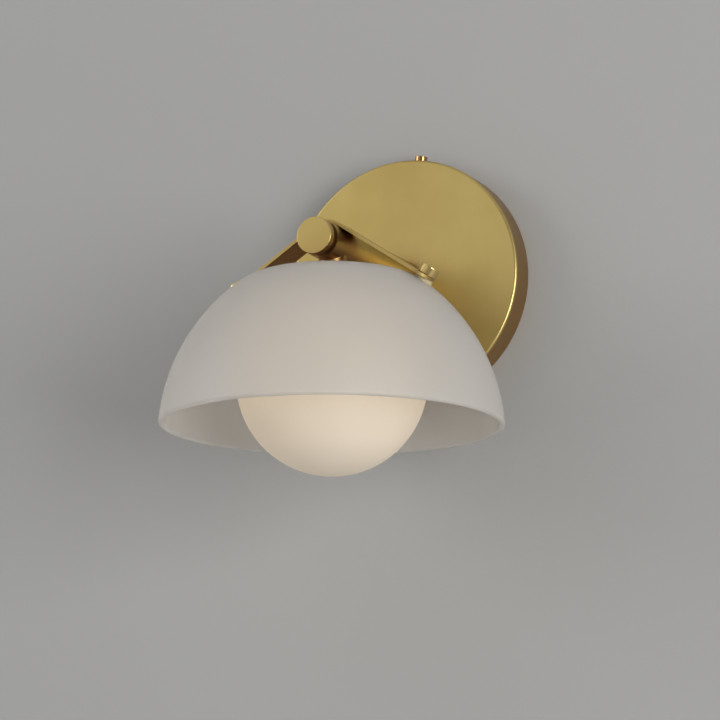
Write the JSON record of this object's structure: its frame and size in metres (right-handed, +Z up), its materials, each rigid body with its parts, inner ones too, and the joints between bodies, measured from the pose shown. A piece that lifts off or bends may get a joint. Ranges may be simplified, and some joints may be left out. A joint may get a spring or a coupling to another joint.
{
  "type": "wall sconce",
  "caption": "Brass wall sconce: a round canopy and arm carry a strap with a frosted glass dome shade, open below, over an opal glass globe.",
  "frame": {"origin": "centre of the canopy, on the wall plane, where the arm's axis meets the wall", "axes": "+Y into the wall, -Y out along the arm, +Z up, +X to the right of someone facing the wall"},
  "size_m": [0.1692, 0.1846, 0.1824],
  "materials": {
    "satin_brass": "brushed satin",
    "polished_brass": "polished",
    "zinc_steel": "zinc plated",
    "green_screw": "green lacquer",
    "white_metal": "white satin",
    "frosted_glass": "etched matte",
    "opal_glass": "opal satin",
    "lamp_glass": "frosted",
    "gasket": "matte",
    "ceramic": "matte"
  },
  "bodies": {
    "sconce": {"canopy": "satin_brass", "mounting_plate": "zinc_steel", "earth_screw": "green_screw", "canopy_lock_washer": "zinc_steel", "canopy_nut": "zinc_steel", "canopy_pipe": "zinc_steel", "arm_tube": "satin_brass", "arm_base_insert": "satin_brass", "arm_end_insert": "satin_brass", "arm_hub": "satin_brass", "strap": "satin_brass", "shade": "frosted_glass", "shade_top_gasket": "gasket", "shade_inner_gasket": "gasket", "hub_pipe": "zinc_steel", "globe_holder": "white_metal", "lamp_bracket": "zinc_steel", "holder_nut": "zinc_steel", "holder_rivet": "zinc_steel", "lamp_holder": "ceramic", "stud_gasket_outer_left": "gasket", "stud_gasket_inner_left": "gasket", "stud_washer_left": "zinc_steel", "shade_stud_left": "zinc_steel", "stud_gasket_outer_right": "gasket", "stud_gasket_inner_right": "gasket", "stud_washer_right": "zinc_steel", "shade_stud_right": "zinc_steel"},
    "end_cap": {"arm_end_cap": "satin_brass"},
    "screw_top": {"canopy_screw_top": "polished_brass"},
    "screw_bottom": {"canopy_screw_bottom": "polished_brass"},
    "nut_left": {"shade_nut_left": "polished_brass"},
    "nut_right": {"shade_nut_right": "polished_brass"},
    "globe": {"globe": "opal_glass"},
    "lamp": {"lamp": "lamp_glass"}
  },
  "joints": [
    {"name": "turn_canopy_screw_top", "type": "hinge", "parent": "sconce", "child": "screw_top", "pos_m": [0.00664, -0.008, 0.06315], "axis": [0.1045, 0, 0.9945], "continuous": true},
    {"name": "turn_canopy_screw_bottom", "type": "hinge", "parent": "sconce", "child": "screw_bottom", "pos_m": [-0.00664, -0.008, -0.06315], "axis": [-0.1045, 0, -0.9945], "continuous": true},
    {"name": "turn_arm_end_cap", "type": "hinge", "parent": "sconce", "child": "end_cap", "pos_m": [0, -0.118, 0], "axis": [0, -1, 0], "continuous": true},
    {"name": "turn_shade_nut_left", "type": "hinge", "parent": "sconce", "child": "nut_left", "pos_m": [-0.05037, -0.1, -0.01999], "axis": [-0.5507, 0, 0.8347], "continuous": true},
    {"name": "turn_shade_nut_right", "type": "hinge", "parent": "sconce", "child": "nut_right", "pos_m": [0.05037, -0.1, -0.01999], "axis": [0.5507, 0, 0.8347], "continuous": true},
    {"name": "unscrew_globe", "type": "hinge", "parent": "sconce", "child": "globe", "pos_m": [0, -0.1, -0.0685], "axis": [0, 0, 1], "continuous": true},
    {"name": "unplug_lamp", "type": "slide", "parent": "sconce", "child": "lamp", "axis": [0, 0, -1], "range_m": [0, 0.011]}
  ]
}
